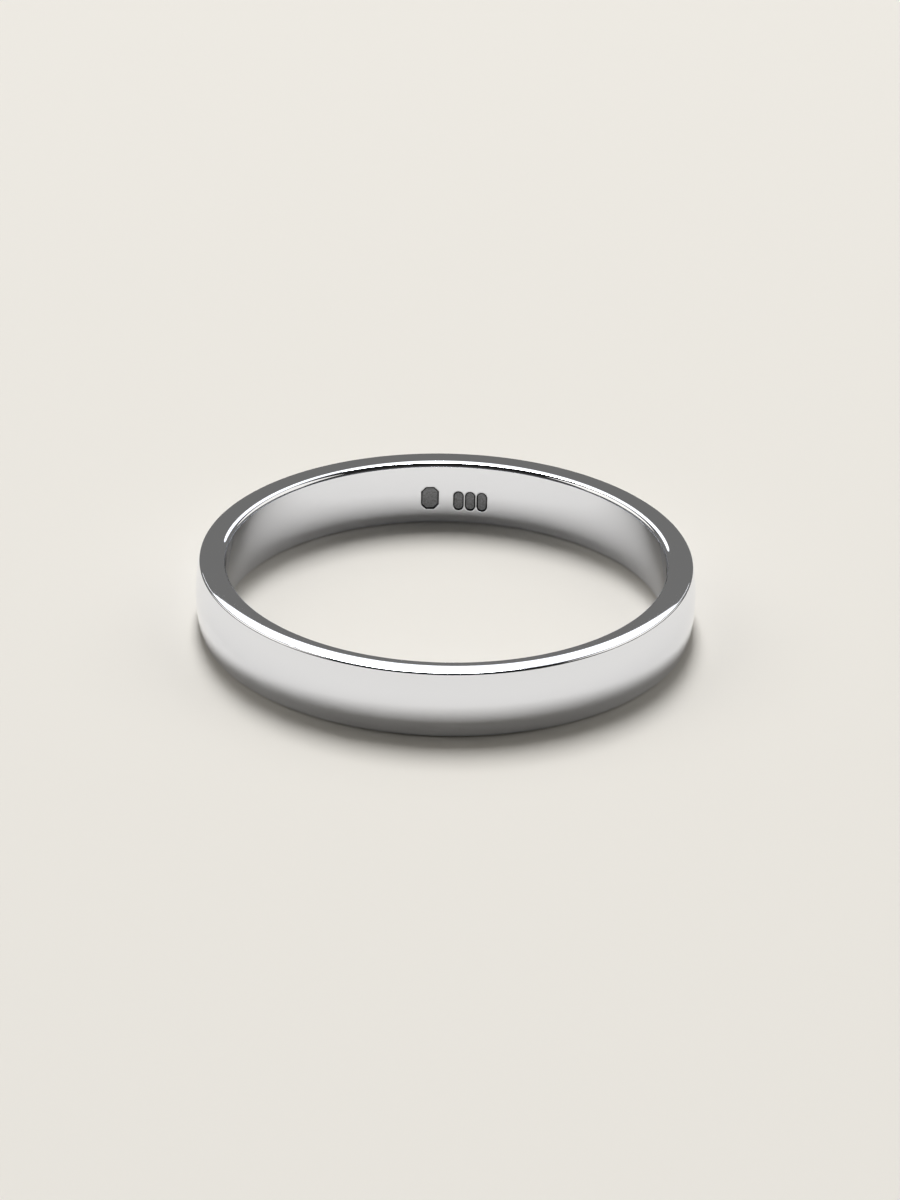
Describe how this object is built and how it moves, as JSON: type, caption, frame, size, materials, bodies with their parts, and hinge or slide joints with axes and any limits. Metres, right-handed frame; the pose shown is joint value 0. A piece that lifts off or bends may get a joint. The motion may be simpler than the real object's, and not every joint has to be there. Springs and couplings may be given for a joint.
{
  "type": "wedding band",
  "caption": "Plain polished ring worn on a finger, with a lightly domed outer wall, softly crowned sides and small shallow punches inside.",
  "frame": {"origin": "on the finger axis, at the lower side face that the ring rests on", "axes": "+Z along the finger axis; +Y towards the punches inside the band; +X completes the frame"},
  "size_m": [0.0216, 0.0216, 0.003],
  "materials": {
    "white_gold": "polished"
  },
  "bodies": {
    "root": {"band": "white_gold"}
  },
  "joints": []
}
